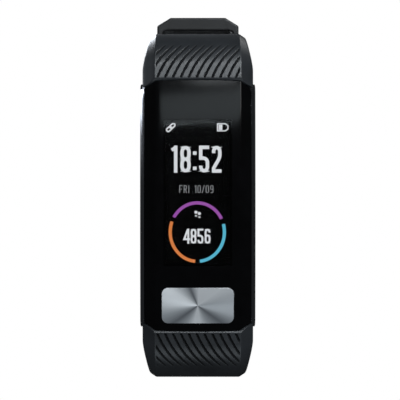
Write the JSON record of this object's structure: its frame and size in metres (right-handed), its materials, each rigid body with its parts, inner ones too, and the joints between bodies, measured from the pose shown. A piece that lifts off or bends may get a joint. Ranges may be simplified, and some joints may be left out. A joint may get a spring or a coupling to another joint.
{
  "type": "fitness tracker band",
  "caption": "Slim curved fitness tracker with a glass front, a touch electrode, a rear pulse sensor and hinged grooved straps with a keeper loop and a tongue buckle, shown unbuckled.",
  "frame": {"origin": "centre of the flat face of the rear sensor window, which rests on the wrist", "axes": "+X across the band, to the right seen from the display; +Y from the display towards the wrist; +Z along the case towards the buckle strap, up in the display"},
  "size_m": [0.021, 0.0838, 0.0668],
  "materials": {
    "frame_black": "polished black",
    "cover_glass": "polished, black border printed behind it",
    "electrode_steel": "brushed outward from its centre",
    "contact_gold": "gold plated",
    "display": "dark panel with a lit watch face",
    "light_guide": "white moulded frame",
    "flex": "amber film",
    "board_green": "solder mask",
    "chip_black": "moulded epoxy",
    "cell_foil": "foil pouch",
    "motor_steel": "plated",
    "diode": "clear epoxy",
    "cover_black": "fine spark texture",
    "lens_glass": "polished",
    "rear_steel": "brushed lengthwise",
    "screw_steel": "blackened",
    "seal_red": "silicone",
    "strap_rubber": "soft satin",
    "keeper_rubber": "soft satin",
    "bar_steel": "turned",
    "spring_steel": "drawn wire",
    "buckle_black": "black plated, satin",
    "tongue_black": "black plated, satin"
  },
  "bodies": {
    "case": {"case_frame": "frame_black", "front_glass": "cover_glass", "touch_electrode": "electrode_steel", "electrode_contact": "contact_gold", "display_panel": "display", "display_backlight": "light_guide", "display_flex": "flex", "sensor_flex": "flex", "main_board": "board_green", "board_chips": "chip_black", "battery": "cell_foil", "vibration_motor": "motor_steel", "sensor_board": "board_green", "sensor_diodes": "diode", "rear_cover": "cover_black", "sensor_lens": "lens_glass", "rear_electrodes": "rear_steel", "charging_contacts": "contact_gold", "case_screws": "screw_steel", "seal_ring": "seal_red"},
    "upper_strap": {"upper_strap": "strap_rubber", "upper_bar_tube": "bar_steel", "upper_bar_spring": "spring_steel"},
    "upper_release": {"upper_bar_release": "bar_steel"},
    "lower_strap": {"lower_strap": "strap_rubber", "lower_bar_tube": "bar_steel", "lower_bar_spring": "spring_steel"},
    "lower_release": {"lower_bar_release": "bar_steel"},
    "keeper": {"keeper": "keeper_rubber"},
    "buckle": {"buckle_frame": "buckle_black", "buckle_pin": "bar_steel"},
    "tongue": {"buckle_tongue": "tongue_black"}
  },
  "joints": [
    {"name": "upper_strap_hinge", "type": "hinge", "parent": "case", "child": "upper_strap", "pos_m": [0, -0.00568, 0.02467], "axis": [1, 0, 0], "range_deg": [-8, 48]},
    {"name": "lower_strap_hinge", "type": "hinge", "parent": "case", "child": "lower_strap", "pos_m": [0, -0.00568, -0.02467], "axis": [-1, 0, 0], "range_deg": [-8, 48]},
    {"name": "keeper_slide", "type": "slide", "parent": "upper_strap", "child": "keeper", "axis": [0, 0.9962, -0.0872], "range_m": [-0.002, 0.007]},
    {"name": "buckle_pivot", "type": "hinge", "parent": "upper_strap", "child": "buckle", "pos_m": [0, 0.05471, 0.00723], "axis": [1, 0, 0], "range_deg": [-60, 50]},
    {"name": "tongue_pivot", "type": "hinge", "parent": "buckle", "child": "tongue", "pos_m": [0, 0.05471, 0.00723], "axis": [1, 0, 0], "range_deg": [0, 70]},
    {"name": "upper_bar_slide", "type": "slide", "parent": "upper_strap", "child": "upper_release", "axis": [-1, 0, 0], "range_m": [0, 0.0011], "stiffness_N_per_m": 400, "springref_m": -0.0015, "deforming": ["upper_bar_spring"]},
    {"name": "lower_bar_slide", "type": "slide", "parent": "lower_strap", "child": "lower_release", "axis": [-1, 0, 0], "range_m": [0, 0.0011], "stiffness_N_per_m": 400, "springref_m": -0.0015, "deforming": ["lower_bar_spring"]}
  ]
}
